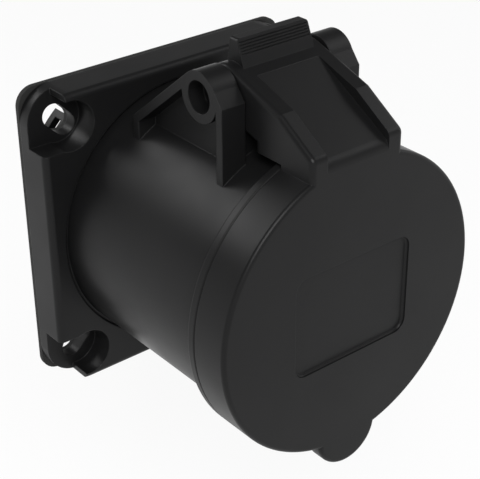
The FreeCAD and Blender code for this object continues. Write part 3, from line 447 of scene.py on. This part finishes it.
plate_screw_offset = 7.3
plate_back = 1.2
plate_screw = screw_skin(head_radius=3.0, head_height=1.8, shank_radius=1.57, core_radius=1.2,
                         pitch=1.15, length=9.0, recess=cross_recess, steps=96)
screw_set("plate_screw_pair", [
    placed(plate_screw, (plate_screw_offset * side, plate_back, 0), (cos(turn), 0, sin(turn)),
           (-sin(turn), 0, cos(turn)), (0, 1, 0)) for side, turn in ((1, 0.3), (-1, 1.1))],
    "plate_screws")

# Terminal screws: five headless clamping screws with a straight slot and a fine thread, cut from
# plated steel. One sits in the side of each terminal, turned in just far enough to hold.


def straight_slot(u, v):
    """Depth of a straight slot across the whole end."""
    slot_depth = 0.9
    slot_half_width = 0.36
    return slot_depth * between((slot_half_width - abs(v)) / 0.06, 0, 1)


screw_end_radius = 22.9
terminal_middle = 6.9
terminal_screw = screw_skin(head_radius=0, head_height=0, shank_radius=1.72, core_radius=1.42,
                            pitch=0.5, length=5.0, recess=straight_slot, steps=72)
clamps = []
for number, place_angle in enumerate((-90, -18, 54, 126, 198)):
    outward = (cos(radians(place_angle)), 0, sin(radians(place_angle)))
    sideways = (-sin(radians(place_angle)), 0, cos(radians(place_angle)))
    turned = 0.35 + 0.6 * number
    across = tuple(cos(turned) * s + sin(turned) * y for s, y in zip(sideways, (0, 1, 0)))
    up = tuple(-sin(turned) * s + cos(turned) * y for s, y in zip(sideways, (0, 1, 0)))
    seat = (screw_end_radius * outward[0], terminal_middle, screw_end_radius * outward[2])
    clamps.append(placed(terminal_screw, seat, across, up, outward))
screw_set("terminal_screw_set", clamps, "terminal_screws")

# Lid: the same black polyamide from a second tool. Its flat face has a recessed field for a
# printed label, and hood and thumb tab are one shot with it. Its small corners are crisper.
lid_black = moulded("lid_black", **black_polyamide, corner_radius=0.00012, mirror=0.155)
finish_node("lid", lid_black)

# Lid gasket: a moulded ring of the same soft rubber as the carrier seal, softer and duller than
# the plastic. It is pressed into the lid and meets the barrel's rim.
finish_node("lid_gasket", seal_black)

# Lid spring: a double torsion spring wound from drawn steel wire round the hinge pin. Its legs
# stand in the housing, its bar lies against the lid, and the coils between them wind up with it.
wire_steel = metal("wire_steel", clean=(0.6, 0.6, 0.6), dull=(0.42, 0.42, 0.43),
                   stretch=(1500, 1500, 1500), depth=0.000003, gloss=(0.2, 0.34))
wire_radius = 0.5
wire_sides = 16
coil_radius = 3.2
coil_pitch = 1.25
coil_steps = 132
leg_place = 8.6
leg_length = 11.0
arm_slope = radians(14.4)
arm_reach = 20.4
bend_radius = 1.5
bend_steps = 8
coil_turn = radians(270) - arm_slope + 3 * 2 * pi
arm_place = leg_place - coil_pitch * coil_turn / (2 * pi)
hinge_front = 42.6
hinge_height = 44.4


def wire_skin(path, radius, sides):
    """A round wire along a path, with flat cut ends, in metres."""
    points, faces = [], []
    last = len(path) - 1
    across = (path[1] - path[0]).orthogonal()
    for number, place in enumerate(path):
        ahead = (path[min(number + 1, last)] - path[max(number - 1, 0)]).normalized()
        across = (across - ahead * across.dot(ahead)).normalized()
        up = ahead.cross(across)
        for step in range(sides):
            turn = 2 * pi * step / sides
            points.append((place + (across * cos(turn) + up * sin(turn)) * radius) * millimetre)
    for start in range(0, last * sides, sides):
        for step in range(sides):
            beside = (step + 1) % sides
            faces.append((start + step, start + beside, start + sides + beside, start + sides + step))
    faces.append(tuple(reversed(range(sides))))
    faces.append(tuple(range(last * sides, (last + 1) * sides)))
    return points, faces


def spring_place(sideways, across, up):
    """A place given from the hinge's axis: across towards the front, and up."""
    return Vector((sideways, -hinge_front - across, hinge_height + up))


arm_foot_across = -coil_radius * sin(arm_slope)
arm_foot_up = -coil_radius * cos(arm_slope)
bar_drop = arm_foot_up - (arm_reach - arm_foot_across) * sin(arm_slope) / cos(arm_slope)
corner = spring_place(arm_place, arm_reach, bar_drop)
half_path = [spring_place(leg_place, coil_radius, -leg_length)]
for step in range(coil_steps + 1):
    share = step / coil_steps
    turn = coil_turn * share
    half_path.append(spring_place(leg_place + (arm_place - leg_place) * share,
                                  coil_radius * cos(turn), coil_radius * sin(turn)))
along_arm = (corner - half_path[-1]).normalized()
inwards = Vector((-1, 0, 0))
bend_middle = corner + (inwards - along_arm) * bend_radius
for step in range(bend_steps + 1):
    turn = pi / 2 * step / bend_steps
    half_path.append(bend_middle + (along_arm * sin(turn) - inwards * cos(turn)) * bend_radius)
half_path.append(Vector((0, corner.y, corner.z)))
for name, side in (("spring_right", 1), ("spring_left", -1)):
    side_path = [Vector((side * place.x, place.y, place.z)) for place in half_path]
    half = as_object(name, *wire_skin(side_path, wire_radius, wire_sides), wire_steel)
    half.data.shade_smooth()
    half.data.set_sharp_from_angle(angle=radians(50))
    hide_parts("lid_spring")
    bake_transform(half)

# Hinge pin: a plain pin cut from drawn steel rod, pushed through ears and hood. The drawing left
# fine lines along it.
rod_steel = metal("rod_steel", clean=(0.58, 0.58, 0.59), dull=(0.44, 0.44, 0.45),
                  stretch=(60, 4000, 4000), depth=0.0000012, gloss=(0.22, 0.36))
finish_node("hinge_pin", rod_steel)

# Panel gasket: a square sheet of black rubber foam, die cut to the flange's outline and laid
# between flange and panel.
sheet_rubber = moulded("sheet_rubber", dark=(0.012, 0.012, 0.012), light=(0.021, 0.021, 0.02),
                       worn_and_highlit=(0.035, 0.034, 0.033), gloss=(0.66, 0.82), grain_size=900,
                       grain_depth=0.00003, corner_radius=0.0002, mirror=0.3)
finish_node("panel_gasket", sheet_rubber)
